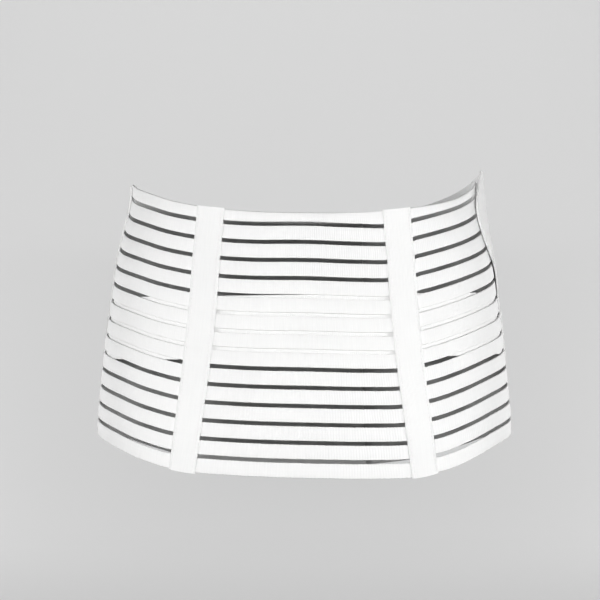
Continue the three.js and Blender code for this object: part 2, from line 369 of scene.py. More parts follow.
def build_weave():
    """Height of a narrow woven elastic, and a tone of random streaks with painted shade in its hollows,
    from a vector in metres.
    """
    group, inside, outside = new_group(
        "Elastic weave",
        [
            ("Vector", "NodeSocketVector", None),
            ("Ribs Per Metre", "NodeSocketFloat", 800.0),
            ("Picks Per Metre", "NodeSocketFloat", 1400.0),
            ("Streaks", "NodeSocketFloat", 0.5),
        ],
        [("Height", "NodeSocketFloat"), ("Streaks And Shade", "NodeSocketFloat")],
    )
    flat = inside.outputs["Vector"]
    split = group.nodes.new("ShaderNodeSeparateXYZ")
    group.links.new(flat, split.inputs[0])
    wobble = noise_node(group, flat, WOBBLE_SCALE)
    bent = math_node(group, "MULTIPLY_ADD", wobble, WOBBLE_REACH, split.outputs["X"])
    turns = math_node(group, "MULTIPLY", inside.outputs["Ribs Per Metre"], math.tau)
    rib = math_node(group, "SINE", math_node(group, "MULTIPLY", bent, turns))
    pick_turns = math_node(group, "MULTIPLY", inside.outputs["Picks Per Metre"], math.tau)
    pick = math_node(group, "SINE", math_node(group, "MULTIPLY", split.outputs["Y"], pick_turns))
    streak = noise_node(group, stretched(group, flat, STREAK_SCALE), 1.0, STREAK_DETAIL)
    line = noise_node(group, stretched(group, flat, LINE_SCALE), 1.0)
    broken = math_node(group, "MULTIPLY_ADD", line, LINE_SHARE, streak)
    uneven = math_node(group, "MULTIPLY", broken, inside.outputs["Streaks"])
    ribs = math_node(group, "MULTIPLY", rib, RIB_HEIGHT)
    woven = math_node(group, "MULTIPLY_ADD", pick, PICK_HEIGHT, ribs)
    height = math_node(group, "ADD", woven, uneven)
    group.links.new(height, outside.inputs["Height"])
    # The tone is low in the weave's hollows, where it paints shade into the colour, and it varies along
    # random streaks.
    group.links.new(math_node(group, "MULTIPLY_ADD", woven, WEAVE_HOLLOW_SHADE, broken), outside.inputs["Streaks And Shade"])
    return group


weave_group = build_weave()
print("built", weave_group.name)

# %% [markdown]
# ## Handled cloth
# A white cloth is softly greyer where it is handled. A cloudy noise, its middle values spread out by a
# Map Range node, gives a mask. It reads Object coordinates, so the clouds run on over neighbouring pieces.

# %% Build the handled group
CLOUD_DETAIL = 4.0
CLOUD_FROM = 0.35
CLOUD_TO = 0.75


def build_handled():
    """A cloudy mask of softly greyed cloth, from Object coordinates in metres."""
    group, inside, outside = new_group(
        "Handled cloth",
        [("Vector", "NodeSocketVector", None), ("Size Per Metre", "NodeSocketFloat", 14.0)],
        [("Mask", "NodeSocketFloat")],
    )
    cloud = group.nodes.new("ShaderNodeTexNoise")
    cloud.inputs["Detail"].default_value = CLOUD_DETAIL
    group.links.new(inside.outputs["Vector"], cloud.inputs["Vector"])
    group.links.new(inside.outputs["Size Per Metre"], cloud.inputs["Scale"])
    ramp = group.nodes.new("ShaderNodeMapRange")
    fill(ramp, {"From Min": CLOUD_FROM, "From Max": CLOUD_TO})
    group.links.new(cloud.outputs["Fac"], ramp.inputs["Value"])
    group.links.new(ramp.outputs["Result"], outside.inputs["Mask"])
    return group


handled_group = build_handled()
print("built", handled_group.name)

# %% [markdown]
# ## The white cloths
# Every cloth here is white, but they differ in weave: the elastics have ribs, the tapes are tighter and
# the panels are brushed. One function makes them all from a few named numbers. Colour and roughness vary
# over the surface: the colour greys along random streaks, and in the weave's hollows as painted shade.
# What is the same all over is set on the shader itself. A little sheen brightens the cloth where it
# turns away, as fine fibres do.

# %% A function for every white cloth
CLEAN_TONE = 0.62
TONE_CONTRAST = -0.55
HANDLED_SHARE = 0.25
TONE_ROUGHNESS = 0.1
RELIEF_DEPTH = 0.0004
CLOTH_FINISH = {"Sheen Weight": 0.12, "Sheen Roughness": 0.6, "Specular IOR Level": 0.25}


def white_cloth(name, white, grey, ribs, picks, streaks, bump, roughness):
    """A white woven material. white is its clean colour; grey is mixed in along random streaks, in handled
    clouds and as painted shade in the weave's hollows.
    """
    material = bpy.data.materials.new(name)
    material.use_nodes = True
    tree = material.node_tree
    shader = tree.nodes["Principled BSDF"]
    place = tree.nodes.new("ShaderNodeTexCoord")
    flat = tree.nodes.new("ShaderNodeUVMap")
    weave = tree.nodes.new("ShaderNodeGroup")
    weave.node_tree = weave_group
    fill(weave, {"Ribs Per Metre": ribs, "Picks Per Metre": picks, "Streaks": streaks})
    tree.links.new(flat.outputs["UV"], weave.inputs["Vector"])
    handled = tree.nodes.new("ShaderNodeGroup")
    handled.node_tree = handled_group
    tree.links.new(place.outputs["Object"], handled.inputs["Vector"])
    # Painted shade: the colour turns grey in the weave's hollows, as well as along random streaks.
    weave_shade_and_streaks = math_node(tree, "MULTIPLY_ADD", weave.outputs["Streaks And Shade"], TONE_CONTRAST, CLEAN_TONE)
    greyed = math_node(tree, "MULTIPLY_ADD", handled.outputs["Mask"], HANDLED_SHARE, weave_shade_and_streaks)
    colour = tree.nodes.new("ShaderNodeMix")
    colour.data_type = "RGBA"
    colour.inputs["A"].default_value = (*white, 1)
    colour.inputs["B"].default_value = (*grey, 1)
    tree.links.new(greyed, colour.inputs["Factor"])
    tree.links.new(colour.outputs["Result"], shader.inputs["Base Color"])
    rough = math_node(tree, "MULTIPLY_ADD", weave.outputs["Streaks And Shade"], TONE_ROUGHNESS, roughness)
    tree.links.new(rough, shader.inputs["Roughness"])
    relief = tree.nodes.new("ShaderNodeBump")
    fill(relief, {"Strength": bump, "Distance": RELIEF_DEPTH})
    tree.links.new(weave.outputs["Height"], relief.inputs["Height"])
    tree.links.new(relief.outputs["Normal"], shader.inputs["Normal"])
    fill(shader, CLOTH_FINISH)
    return material


print("relief of the weave:", RELIEF_DEPTH, "m")

# %% [markdown]
# ## One material for each cloth
# Ribs and picks are counted per metre of cloth: the slotted elastic has about one rib every 2 mm. The
# sewing thread has so many that it reads as smooth. The hook tape has the strongest relief and is the
# greyest.

# %% Make the cloth materials
WHITE = (0.84, 0.84, 0.835)
# A greyer white: on the strap and the panels it is painted shade for the inside of the belt seen through
# the slots, and the thread shares it.
GREYER_WHITE = (0.80, 0.80, 0.795)
HOOK_WHITE = (0.72, 0.72, 0.715)

web_cloth = white_cloth(
    "Slotted elastic", WHITE, (0.75, 0.75, 0.75),
    ribs=480, picks=1300, streaks=0.45, bump=0.20, roughness=0.75,
)
tape_cloth = white_cloth(
    "Cover tape", WHITE, (0.76, 0.76, 0.76),
    ribs=900, picks=1100, streaks=0.30, bump=0.25, roughness=0.72,
)
# The strap is greyer than the web as painted shade, because it lies in shade behind the slots.
strap_cloth = white_cloth(
    "Strap elastic", GREYER_WHITE, (0.72, 0.72, 0.72),
    ribs=600, picks=1300, streaks=0.4, bump=0.30, roughness=0.75,
)
# The panels are greyer as painted shade for their inner faces, which show through the slots.
panel_cloth = white_cloth(
    "Brushed panel with painted shade", GREYER_WHITE, (0.70, 0.70, 0.70),
    ribs=1300, picks=1300, streaks=0.6, bump=0.30, roughness=0.85,
)
hook_cloth = white_cloth(
    "Hook tape", HOOK_WHITE, (0.60, 0.60, 0.60),
    ribs=600, picks=600, streaks=0.2, bump=0.9, roughness=0.6,
)
thread_cloth = white_cloth(
    "Sewing thread", GREYER_WHITE, (0.72, 0.72, 0.72),
    ribs=2500, picks=2500, streaks=0.1, bump=0.2, roughness=0.6,
)
cloths = (web_cloth, tape_cloth, strap_cloth, panel_cloth, hook_cloth, thread_cloth)
print("cloths:", [cloth.name for cloth in cloths])

# %% [markdown]
# ## Dressing a piece
# Each finished piece gets its material and rides on the belt's one body. A piece that stands for a solid
# of the frame also says which, and the frame then hides that solid.

# %% A helper that dresses a piece
def dress(piece, material, node=None):
    """Gives a piece its material and body, and hides the node that it stands for."""
    piece.data.materials.clear()
    piece.data.materials.append(material)
    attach(piece, "root")
    if node:
        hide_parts(node)


print("solids in the frame:", len(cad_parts))

# %% [markdown]
# ## The bands and slots of the web
# The web is one elastic with fifteen bands and a slot between each two. The top and bottom bands have
# their own heights, and the slots lie evenly between. The strap, the web and the tapes lie in layers, a
# fraction of a millimetre apart, so that none cuts into its neighbour.

# %% Work out the bands and slots
BAND_COUNT = 15
TOP_BAND = 0.011
BOTTOM_BAND = 0.0126
SLOT_HEIGHT = 0.0032
WEB_WALL = 0.0014
STRAP_WALL = 0.0014
STRAP_GAP = 0.0005
LAYER_GAP = 0.0004
WEB_LAYER = STRAP_WALL + STRAP_GAP
COVER_LAYER = WEB_LAYER + WEB_WALL + LAYER_GAP

slot_pitch = (BELT_HEIGHT - TOP_BAND - BOTTOM_BAND - SLOT_HEIGHT) / (BAND_COUNT - 2)
slot_tops = [TOP_BAND + k * slot_pitch for k in range(BAND_COUNT - 1)]
slots = [(top, top + SLOT_HEIGHT) for top in slot_tops]
bands = list(zip([0.0] + [end for _, end in slots], slot_tops + [BELT_HEIGHT]))
print(len(bands), "bands,", len(slots), "slots")

# %% [markdown]
# ## The rise of the web's edges
# The belt's edges rise towards its sides. A table gives that rise by turn, and the bands share it out
# from top to bottom. The upper slots lie a little higher than an even share would put them, mostly on the
# right, and that lift fades out downwards.

# %% Lay out the edges
SIDE_RISE = 0.033
SIDE_TURN = 90

# turn in degrees, the rise of the top and bottom edges as shares of SIDE_RISE, and the share of
# TOP_BAND by which the top slot lies higher
EDGE_COLUMNS = ("turn", "top", "bottom", "lift")
WEB_EDGES = [
    (-110, 0.84, 0.95, 0.00),
    (-90, 0.86, 1.02, 0.00),
    (-75, 0.71, 0.92, 0.00),
    (-60, 0.54, 0.73, 0.02),
    (-45, 0.32, 0.43, 0.07),
    (-30, 0.15, 0.16, 0.11),
    (-15, 0.04, 0.06, 0.17),
    (0, 0.00, 0.00, 0.28),
    (15, 0.01, -0.03, 0.10),
    (25, 0.06, -0.01, -0.04),
    (37, 0.17, 0.19, 0.20),
    (45, 0.25, 0.39, 0.31),
    (60, 0.44, 0.74, 0.38),
    (75, 0.69, 0.93, 0.34),
    (90, 0.93, 1.02, 0.30),
    (110, 0.95, 0.95, 0.30),
]
web_top = profile(EDGE_COLUMNS, WEB_EDGES, "top")
web_bottom = profile(EDGE_COLUMNS, WEB_EDGES, "bottom")
slot_lift = profile(EDGE_COLUMNS, WEB_EDGES, "lift")


def web_height(turn, down):
    """Height on the web at a turn, by the metres down from its top edge. The lift fades out downwards."""
    top = BELT_HEIGHT / 2 + SIDE_RISE * web_top(turn)
    bottom = -BELT_HEIGHT / 2 + SIDE_RISE * web_bottom(turn)
    lift = min(max(down, 0), TOP_BAND) * slot_lift(turn) * (1 - down / BELT_HEIGHT)
    return top + (bottom - top) * down / BELT_HEIGHT + lift


print("top edge at the right side:", round(web_height(SIDE_TURN, 0), 3), "m")

# %% [markdown]
# ## Where the slots stop
# The slots end a little under the tapes' edges and before the web's ends. A grid can only be cut along
# its own lines, so a key station stands wherever slots stop. The others carry the tapes' lean on round
# the belt.

# %% Set the key stations
WEB_END = 104
SLOT_END = 98
LEFT_COVER = -29.3
RIGHT_COVER = 28.5
COVER_CLEAR = 6
COVER_WIDTH = 0.026
SLOT_TUCK = 0.003
SIDE_STEPS = 12
MIDDLE_STEPS = 8


def cover_keys(turn):
    """The keys across a tape: its edges, the ends of the slots under it and its middle line."""
    half = COVER_WIDTH / 2
    return [(turn, shift) for shift in (-half, SLOT_TUCK - half, 0, half - SLOT_TUCK, half)]


WEB_KEYS = [
    (-WEB_END, 0),
    *[(turn, 0) for turn in even(-SLOT_END, LEFT_COVER - COVER_CLEAR, SIDE_STEPS)],
    *cover_keys(LEFT_COVER),
    *[(turn, 0) for turn in even(LEFT_COVER + COVER_CLEAR, RIGHT_COVER - COVER_CLEAR, MIDDLE_STEPS)],
    *cover_keys(RIGHT_COVER),
    *[(turn, 0) for turn in even(RIGHT_COVER + COVER_CLEAR, SLOT_END, SIDE_STEPS)],
    (WEB_END, 0),
]
print(len(WEB_KEYS), "key stations")

# %% [markdown]
# ## The web itself
# Each band is a little thinner at its edges than in its middle, and its edges are finely toothed where
# the threads turn back. Two faint waves keep the bands from looking like plastic. A Displace modifier
# could do that too, but it would need a texture of its own.

# %% Describe one point of the web
WEB_STEP = 0.0014
BAND_SHARES = (0.0, 0.08, 0.5, 0.92, 1.0)
SLOT_ROW = len(BAND_SHARES) - 1
TOOTH = 0.00013
EDGE_WALL = 0.7
WEB_RIPPLE = 0.00008
SLOW_SHARE = 0.6
SLOW_WAVE = (0.37, 1.9)
SLOW_START = (1.7, 1.0)
QUICK_SHARE = 0.4
QUICK_WAVE = (1.31, 0.8)
QUICK_START = 2.3

web_stations = fine_stations(WEB_KEYS, WEB_STEP)
web_turns = [station_turn(station) for station in web_stations]
web_rows = [start + (end - start) * share for start, end in bands for share in BAND_SHARES]


def ripple(i, j):
    """A smooth unevenness from -1 to 1 over the web's columns and rows."""
    slow = math.sin(i * SLOW_WAVE[0] + SLOW_START[0]) * math.sin(j * SLOW_WAVE[1] + SLOW_START[1])
    quick = math.sin(i * QUICK_WAVE[0] + j * QUICK_WAVE[1] + QUICK_START)
    return SLOW_SHARE * slow + QUICK_SHARE * quick


def web_place(i, j):
    """A point of the web's inner face. Every second column of a band's edge is a tooth."""
    share = BAND_SHARES[j % len(BAND_SHARES)]
    tooth = TOOTH * (-1) ** i * {0.0: 1, 1.0: -1}.get(share, 0)
    z = web_height(web_turns[i], web_rows[j]) + tooth
    inset = WEB_WALL * (1 - web_weight(i, j)) / 2
    return belt_point(web_stations[i], z, WEB_LAYER + inset + WEB_RIPPLE * ripple(i, j))


def web_weight(i, j):
    """The share of the wall, which is less at a band's edges."""
    return EDGE_WALL if BAND_SHARES[j % len(BAND_SHARES)] in (0.0, 1.0) else 1.0


def web_is_cut(i, j):
    """Slots are open, but not at the web's ends and not under the middle of a tape."""
    key_a, key_b, _ = web_stations[i]
    is_end = abs(key_a[0]) == WEB_END or abs(key_b[0]) == WEB_END
    is_tucked = key_a[0] == key_b[0] and max(abs(key_a[1]), abs(key_b[1])) < COVER_WIDTH / 2
    return j % len(BAND_SHARES) == SLOT_ROW and not is_end and not is_tucked


print("the web's grid has", len(web_stations), "columns and", len(web_rows), "rows of points")

# %% [markdown]
# ## Cut and bend the web
# The helper does the work. The flat length is then measured at mid-height, and so is the length of
# the slots, where there is no cloth.

# %% Model the web
web = cloth_piece("woven_web", web_stations, web_rows, web_place, WEB_WALL, web_weight, web_is_cut)
dress(web, web_cloth, "slotted_web")
web_steps = cloth_steps(web_stations, WEB_LAYER)
slot_length = sum(step for i, step in enumerate(web_steps) if web_is_cut(i, SLOT_ROW))

# %% [markdown]
# ## The relief of a tape
# A tape is thin at its sewn edges and thicker down its middle, with a fine groove along each seam, and it
# sinks a little where a slot lies under it. That relief is only in the outer face, so it is given as a
# share of the wall at each point. Sculpting it would be slower and less even.

# %% Describe a tape's relief
COVER_WALL = 0.0016
TAPE_FLAT = 0.85
TAPE_EDGE = 0.3
TAPE_BEVEL = 0.0112
TAPE_SEAM = 0.0103
GROOVE = 0.1
GROOVE_WIDTH = 0.0008
SINK = 0.16
SINK_WIDTH = 0.0016
SINK_IN_MIDDLE = 0.3
LEAST_SHARE = 0.15
PRESS = 0.00034


def smooth_step(value, low, high):
    """From 0 at low to 1 at high, without a corner at either."""
    share = min(max((value - low) / (high - low), 0), 1)
    return share * share * (3 - 2 * share)


def hump(distance, width):
    """A soft hump that is 1 at no distance and falls off over the width."""
    return math.exp(-((distance / width) ** 2))


def tape_share(shift, down):
    """The share of the tape's wall at a shift from its middle line and a distance down it."""
    edge = smooth_step(abs(shift), TAPE_BEVEL, COVER_WIDTH / 2)
    groove = GROOVE * hump(abs(shift) - TAPE_SEAM, GROOVE_WIDTH)
    near_slot = max(hump(down - (a + b) / 2, SINK_WIDTH) for a, b in slots)
    to_edge = min(abs(shift) / (COVER_WIDTH / 2), 1) ** 2
    sink = SINK * near_slot * (SINK_IN_MIDDLE + (1 - SINK_IN_MIDDLE) * to_edge)
    share = TAPE_FLAT + (TAPE_EDGE - TAPE_FLAT) * edge - groove - sink
    return min(max(share, LEAST_SHARE), 1.0)


def tape_layer(shift):
    """How far the tape's inner face lies off the hollow: it is pressed down towards its sewn edges."""
    return COVER_LAYER - PRESS * (shift / (COVER_WIDTH / 2)) ** 2


print("share of the wall down the middle of a tape:", round(tape_share(0, 0), 2))

# %% [markdown]
# ## The two tapes
# Each tape covers the ends of the slots and stands a little past the web's top and bottom edges. Its grid
# has rows at the bands' edges, so the relief falls in the right places.

# %% Model the tapes
COVER_OVERHANG = 0.0008
COVER_STEP = 0.0012
BAND_ROW_STEPS = 4

cover_rows = [-COVER_OVERHANG]
for start, end in bands:
    cover_rows += even(start, end, BAND_ROW_STEPS)
    cover_rows.append(end + SLOT_HEIGHT / 2)
cover_rows[-1] = BELT_HEIGHT + COVER_OVERHANG


def tape(name, turn, node):
    """One tape along the key station at a turn."""
    stations = fine_stations(cover_keys(turn), COVER_STEP)
    turns = [station_turn(station) for station in stations]
    shifts = [a[1] + (b[1] - a[1]) * share for a, b, share in stations]
    layers = [tape_layer(shift) for shift in shifts]
    piece = cloth_piece(
        name, stations, cover_rows,
        lambda i, j: belt_point(stations[i], web_height(turns[i], cover_rows[j]), layers[i]),
        COVER_WALL,
        lambda i, j: tape_share(shifts[i], cover_rows[j]),
    )
    dress(piece, tape_cloth, node)


tape("tape_left", LEFT_COVER, "stay_cover_left")
tape("tape_right", RIGHT_COVER, "stay_cover_right")

# %% [markdown]
# ## The strap inside
# A second, plain elastic runs level inside the web. From behind it shows only through the middle slots,
# where it turns them from dark to light, so its level and slight lean matter more than its detail.

# %% Model the strap
STRAP_HEIGHT = 0.055
STRAP_LEVEL = 0.0156
STRAP_LEAN = 0.0022
STRAP_END = 140
STRAP_END_STEPS = 5
STRAP_STEP = 0.003
STRAP_ROW_COUNT = 14
STRAP_EDGE_WALL = 0.6

strap_keys = [
    *[(turn, 0) for turn in even(-STRAP_END, -WEB_END, STRAP_END_STEPS)],
    *WEB_KEYS[1:-1],
    *[(turn, 0) for turn in even(WEB_END, STRAP_END, STRAP_END_STEPS)],
]
strap_stations = fine_stations(strap_keys, STRAP_STEP)
strap_rows = even(0.0, STRAP_HEIGHT, STRAP_ROW_COUNT)


def strap_place(i, j):
    """A point of the strap's inner face. The strap leans up towards the right."""
    lean = STRAP_LEAN * math.sin(math.radians(strap_stations[i][0][0]))
    z = STRAP_LEVEL + STRAP_HEIGHT / 2 - strap_rows[j] + lean
    inset = STRAP_WALL * (1 - strap_weight(i, j)) / 2
    return belt_point(strap_stations[i], z, inset)


def strap_weight(i, j):
    """The share of the wall, which is less along both edges."""
    return STRAP_EDGE_WALL if j in (0, STRAP_ROW_COUNT) else 1.0


strap = cloth_piece("level_strap", strap_stations, strap_rows, strap_place, STRAP_WALL, strap_weight)
dress(strap, strap_cloth, "inner_strap")
strap_length = sum(cloth_steps(strap_stations, 0))
print("flat length of the strap:", round(strap_length, 3), "m")

# %% [markdown]
# ## The outlines of the front panels
# Two solid panels carry on from the web and overlap at the front. The right one lies on top. Its
# front edge comes forward round the side near the top, over the ends of the upper slots, and stands a
# little off the web there, which shows from behind as a white edge beside the web.

# %% Lay out the panels
PANEL_START = 94
PANEL_REACH = 17.5
PANEL_FLARE = 0.008

# turn away from the back, then the rise of the edges as shares of SIDE_RISE
PANEL_COLUMNS = ("turn", "left_top", "right_top", "bottom")
PANEL_EDGES = [
    (90, 0.84, 1.24, 1.00),
    (110, 0.74, 1.10, 0.85),
    (130, 0.46, 0.66, 0.42),
    (150, 0.18, 0.26, -0.02),
    (180, 0.04, 0.06, -0.26),
    (200, 0.04, 0.06, -0.26),
]
# by the share of the way down, how far the right panel's front edge comes forward of PANEL_START, as a
# share of PANEL_REACH
PANEL_FRONT = [
    (0.00, 0.22),
    (0.08, 0.68),
    (0.15, 0.98),
    (0.24, 1.00),
    (0.32, 0.76),
    (0.40, 0.28),
    (0.48, 0.00),
    (0.60, 0.00),
]
# how far the right panel stands off by level and by turn: PANEL_FLARE times a share of each
FLARE_LEVELS = [(-0.10, 0.00), (0.10, 0.20), (0.28, 0.30), (0.40, 0.66), (0.56, 1.00), (0.68, 0.60)]
FLARE_TURNS = [(76, 0.10), (90, 0.42), (102, 1.00), (118, 0.85), (150, 0.00)]
flare_level = profile(("level", "stand"), FLARE_LEVELS, "stand")
flare_turn = profile(("turn", "stand"), FLARE_TURNS, "stand")
front_reach = profile(("down", "reach"), PANEL_FRONT, "reach")
panel_bottom = profile(PANEL_COLUMNS, PANEL_EDGES, "bottom")
panel_top = {side: profile(PANEL_COLUMNS, PANEL_EDGES, side + "_top") for side in ("left", "right")}
print("the panels start at turns from", PANEL_START - PANEL_REACH, "to", PANEL_START, "degrees")

# %% [markdown]
# ## Places on a panel
# Both panels lie on the web. At the front the right one climbs over the left one and the hook
# patch, and a smooth step makes that climb without a kink.

# %% Find places on a panel
PANEL_WALL = 0.0016
PATCH_WALL = 0.0012
CLIMB_START = 108
CLIMB_END = 160
PANEL_LAYER = COVER_LAYER
PATCH_LAYER = PANEL_LAYER + PANEL_WALL + LAYER_GAP
LAP_LAYER = PATCH_LAYER + PATCH_WALL + LAYER_GAP


def panel_off(side, turn, z):
    """How far a panel's inner face lies off the hollow."""
    if side == "left":
        return PANEL_LAYER
    lap = smooth_step(turn, CLIMB_START, CLIMB_END)
    flare = PANEL_FLARE * flare_level(z / BELT_HEIGHT) * flare_turn(turn)
    return PANEL_LAYER + (LAP_LAYER - PANEL_LAYER) * lap + flare


def panel_height(side, turn, share):
    """The height on a panel at a turn, by the share of the way down it."""
    top = BELT_HEIGHT / 2 + SIDE_RISE * panel_top[side](turn)
    bottom = -BELT_HEIGHT / 2 + SIDE_RISE * panel_bottom(turn)
    return top + (bottom - top) * share


def front_turn(side, share):
    """The turn of a panel's front edge, by the share of the way down it."""
    return PANEL_START - (PANEL_REACH * front_reach(share) if side == "right" else 0)


def turn_station(side, turn):
    """The station at a turn on a panel's own side."""
    key = (turn if side == "right" else -turn, 0)
    return key, key, 0


print("the right panel ends", round(LAP_LAYER, 4), "m off the hollow")

# %% [markdown]
# ## The panels themselves
# A panel starts as an even grid that reaches as far forward as its front edge does anywhere. Where the
# edge lies further back, columns are drawn together on it, and the squares before it are cut away. The
# cloth is thinner inside its hems, where it isn't folded over.

# %% Model the panels
BELLY_TURN = 180
PANEL_LAP = 18
PANEL_STEP = 0.004
PANEL_KEY_STEPS = 16
PANEL_ROW_COUNT = 60
HEM = 0.007
PANEL_THIN = 0.72

end_turn = BELLY_TURN + PANEL_LAP
panel_shares = even(0.0, 1.0, PANEL_ROW_COUNT)
hem_rows = round(HEM / BELT_HEIGHT * PANEL_ROW_COUNT)


def panel(name, side, node):
    """One panel, from its edge at the side of the belt to its end past the middle of the front."""
    fronts = [front_turn(side, share) for share in panel_shares]
    keys = [(turn, 0) for turn in [min(fronts), SLOT_END, *even(WEB_END, end_turn, PANEL_KEY_STEPS)]]
    stations = fine_stations(keys, PANEL_STEP)
    if side == "left":
        stations.reverse()
    turns = [station_turn(station) for station in stations]

    def edge_or_turn(i, j):
        return max(turns[i], fronts[j])

    def place(i, j):
        turn = edge_or_turn(i, j)
        z = panel_height(side, turn, panel_shares[j])
        return belt_point(turn_station(side, turn), z, panel_off(side, turn, z))

    def weight(i, j):
        turn = edge_or_turn(i, j)
        to_edge = math.radians(min(turn - fronts[j], end_turn - turn)) * hollow_at(math.radians(turn), 0)[2]
        is_hem = to_edge < HEM or min(j, PANEL_ROW_COUNT - j) < hem_rows
        return 1.0 if is_hem else PANEL_THIN

    def is_cut(i, j):
        return max(turns[i], turns[i + 1]) <= min(fronts[j], fronts[j + 1])

    rows = [share * BELT_HEIGHT for share in panel_shares]
    piece = cloth_piece(name, stations, rows, place, PANEL_WALL, weight, is_cut)
    dress(piece, panel_cloth, node)
    lengths = [
        sum((place(i + 1, j) - place(i, j)).length for i in range(len(stations) - 1))
        for j in range(PANEL_ROW_COUNT + 1)
    ]
    print("flat length of", name, round(max(lengths), 3), "m")


panel("panel_left", "left", "front_panel_left")
panel("panel_right", "right", "front_panel_right")

# %% [markdown]
# ## The hook patch
# Hook tape between the overlapped ends holds them. It doesn't show, so it is one plain strip that keeps
# clear of the panels' edges.

# %% Model the hook patch
PATCH_MARGIN = 0.014
PATCH_KEY_STEPS = 6
PATCH_ROW_COUNT = 40

lap_turns = even(BELLY_TURN - PANEL_LAP, BELLY_TURN + PANEL_LAP, PATCH_KEY_STEPS)[1:-1]
patch_stations = fine_stations([(turn, 0) for turn in lap_turns], PANEL_STEP)
patch_top = BELT_HEIGHT / 2 - PATCH_MARGIN
patch_rows = even(0.0, 2 * patch_top, PATCH_ROW_COUNT)
patch = cloth_piece(
    "hook_strip", patch_stations, patch_rows,
    lambda i, j: belt_point(patch_stations[i], patch_top - patch_rows[j], PATCH_LAYER), PATCH_WALL,
)
dress(patch, hook_cloth, "hook_patch")
patch_length = sum(cloth_steps(patch_stations, PATCH_LAYER))
print("flat length of the hook patch:", round(patch_length, 3), "m")

# %% [markdown]
# ## One stitch
# The tapes and the panels' hems are sewn down with white thread. One stitch is a ball stretched along the
# seam and half sunk into the cloth. At this size a ball with few sides is enough, and real copies keep
# their shape in the exported part, which a painted seam would not.

# %% Make one stitch
STITCH_LENGTH = 0.0024
STITCH_THICKNESS = 0.00046
STITCH_SIDES = 8
STITCH_RINGS = 4
BALL_RADIUS = 0.5

bpy.ops.object.select_all(action="DESELECT")
bpy.ops.mesh.primitive_uv_sphere_add(segments=STITCH_SIDES, ring_count=STITCH_RINGS, radius=BALL_RADIUS)
stitch = bpy.context.object
stitch.scale = (STITCH_THICKNESS, STITCH_THICKNESS, STITCH_LENGTH)
bpy.ops.object.transform_apply(location=True, rotation=True, scale=True)
bpy.ops.object.shade_smooth()
print("one stitch has", len(stitch.data.polygons), "faces")

# %% [markdown]
# ## Copies along a seam
# A seam is a function that gives a point on the cloth and the way out of it, for the metres along the
# seam. Each copy is turned so that its length follows the seam. An Array modifier along a curve could do
# it too, but its copies may roll over where the curve twists.

# %% A helper that sews
STITCH_PITCH = 0.0033
PROBE = 0.001


def sew(name, seams, material):
    """Copies the stitch along seams, each a function and a length, and joins the copies in one piece."""
    copies = []
    for seam, length in seams:
        for k in range(int(length / STITCH_PITCH)):
            start = (k + 0.5) * STITCH_PITCH
            point, out = seam(start)
            along = (seam(start + PROBE)[0] - seam(start - PROBE)[0]).normalized()
            side = out.cross(along).normalized()
            turned = Matrix((side, along.cross(side), along)).transposed().to_4x4()
            copy = stitch.copy()
            copy.data = stitch.data.copy()
            copy.data.transform(Matrix.Translation(point) @ turned)
            bpy.context.collection.objects.link(copy)
            copies.append(copy)
    bpy.ops.object.select_all(action="DESELECT")
    for copy in copies:
        copy.select_set(True)
    bpy.context.view_layer.objects.active = copies[0]
    bpy.ops.object.join()
    seam_piece = bpy.context.object
    seam_piece.name = name
    seam_piece.data.name = name
    dress(seam_piece, material)
    print(name, "has", len(copies), "stitches")


print("one stitch every", STITCH_PITCH, "m")

# %% [markdown]
# ## The ways of the seams
# A tape has a seam along each edge, and a panel has one inside each of its four edges. The seams use the
# same functions as the cloth under them, so they stay on it when a size is changed.

# %% Describe the seams
HEM_SEAM = 0.005
HEM_SEAM_TURN = 2
SEAM_STEPS = 60


def on_belt(station, z, off):
    """A point of the belt and the way out of it."""
    point = belt_point(station, z, off)
    return point, (belt_point(station, z, off + PROBE) - point).normalized()


def tape_seam(turn, shift):
    """The seam down a tape at a shift from its middle line."""
    key = (turn, shift)
    station = (key, key, 0)
    at_turn = key_turn(key)
    return lambda down: on_belt(
        station, web_height(at_turn, down), tape_layer(shift) + COVER_WALL * tape_share(shift, down)
    )


def panel_seam(side, places):
    """A seam through (turn, share down) places of a panel, by the metres along it, and its length."""
    def at(turn, share):
        z = panel_height(side, turn, share)
        return on_belt(turn_station(side, turn), z, panel_off(side, turn, z) + PANEL_WALL)

    points = [at(*place)[0] for place in places]
    lengths = [0.0]
    for here, there in zip(points, points[1:]):
        lengths.append(lengths[-1] + (there - here).length)
    last = len(places) - 1

    def seam(along):
        k = next((n for n in range(1, last) if along < lengths[n]), last)
        between = (along - lengths[k - 1]) / (lengths[k] - lengths[k - 1])
        (turn_a, share_a), (turn_b, share_b) = places[k - 1], places[k]
        return at(turn_a + (turn_b - turn_a) * between, share_a + (share_b - share_a) * between)

    return seam, lengths[-1]


def hem_places(side):
    """The places of a panel's four seams: down its two ends, then along its top and its bottom."""
    edge = HEM_SEAM / BELT_HEIGHT
    downs = even(edge, 1 - edge, SEAM_STEPS)
    last_turn = end_turn - HEM_SEAM_TURN
    front_seam = [(front_turn(side, down) + HEM_SEAM_TURN, down) for down in downs]
    end_seam = [(last_turn, down) for down in downs]
    top_seam, bottom_seam = (
        [(turn, down) for turn in even(front_turn(side, down) + HEM_SEAM_TURN, last_turn, SEAM_STEPS)]
        for down in (edge, 1 - edge)
    )
    return [front_seam, end_seam, top_seam, bottom_seam]


print("a panel has", len(hem_places("right")), "seams")

# %% [markdown]
# ## All the seams
# The seams of one tape or panel become one piece. The stitch that was copied is removed at the end.

# %% Sew the seams
for side, turn in (("left", LEFT_COVER), ("right", RIGHT_COVER)):
    seams = [(tape_seam(turn, shift), BELT_HEIGHT) for shift in (-TAPE_SEAM, TAPE_SEAM)]
    sew("tape_stitches_" + side, seams, thread_cloth)

